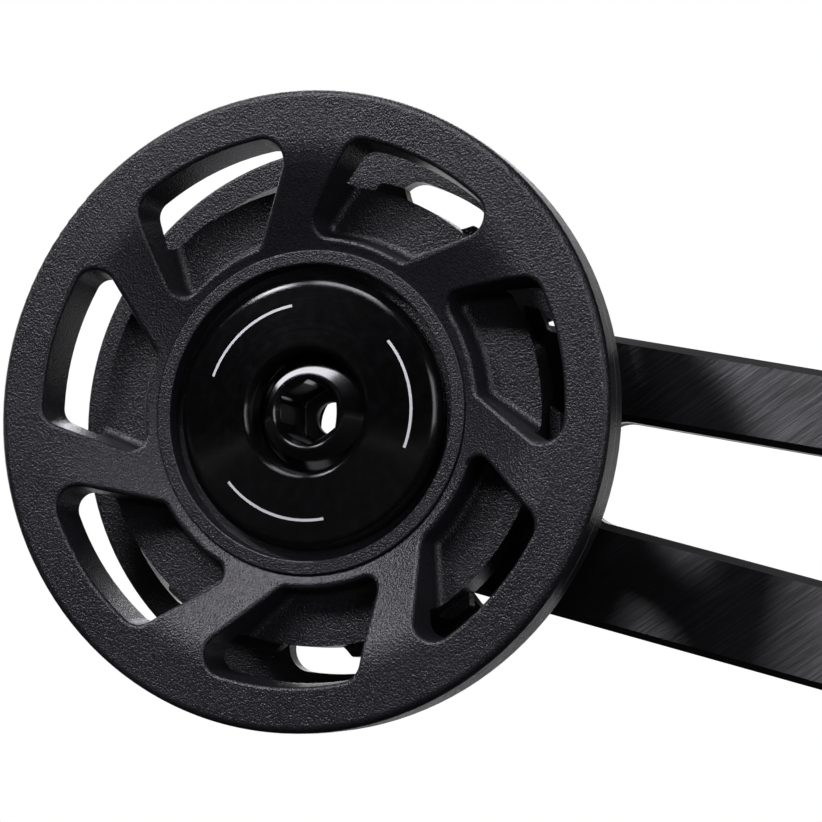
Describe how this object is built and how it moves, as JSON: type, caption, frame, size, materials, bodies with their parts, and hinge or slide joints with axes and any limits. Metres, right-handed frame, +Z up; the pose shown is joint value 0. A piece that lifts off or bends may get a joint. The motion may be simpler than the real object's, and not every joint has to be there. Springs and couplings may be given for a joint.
{
  "type": "bicycle chain guide",
  "caption": "Lower chain guide: toothed, flanged pulley wheel with swept windows, spinning on a sealed bearing at the end of a forked plate with a bolt-on mounting ring.",
  "frame": {"origin": "centre of the mounting bolt circle, on the mounting face at the back of the plate", "axes": "+Y points back out of the mounting face, the front of the guide faces -Y, +Z is up and the pulley wheel is on the -X side"},
  "size_m": [0.1636, 0.0223, 0.0912],
  "materials": {
    "pulley_plastic": "black, fine moulded grain",
    "black_steel": "black oxide",
    "bearing_steel": "ground and polished",
    "cage_plastic": "natural moulded nylon",
    "seal_rubber": "black, matt",
    "gloss_aluminium": "black anodised, gloss, turned",
    "brushed_aluminium": "black anodised over a brushed surface"
  },
  "bodies": {
    "plate": {"backplate": "brushed_aluminium", "axle_bolt": "gloss_aluminium", "front_cap": "gloss_aluminium", "rear_spacer": "gloss_aluminium", "bearing_inner_race": "bearing_steel"},
    "wheel": {"outer_pulley_half": "pulley_plastic", "inner_pulley_half": "pulley_plastic", "half_screws": "black_steel", "bearing_outer_race": "bearing_steel", "front_bearing_seal": "seal_rubber", "rear_bearing_seal": "seal_rubber"},
    "ball_set": {"bearing_balls": "bearing_steel", "bearing_cage": "cage_plastic"}
  },
  "joints": [
    {"name": "wheel_spin", "type": "hinge", "parent": "plate", "child": "wheel", "pos_m": [-0.09529, -0.012, 0.02288], "axis": [0, 1, 0], "continuous": true},
    {"name": "ball_roll", "type": "hinge", "parent": "plate", "child": "ball_set", "pos_m": [-0.09529, -0.012, 0.02288], "axis": [0, 1, 0], "continuous": true}
  ],
  "couplings": [
    {"joint": "ball_roll", "follows": "wheel_spin", "ratio": 0.5828}
  ]
}
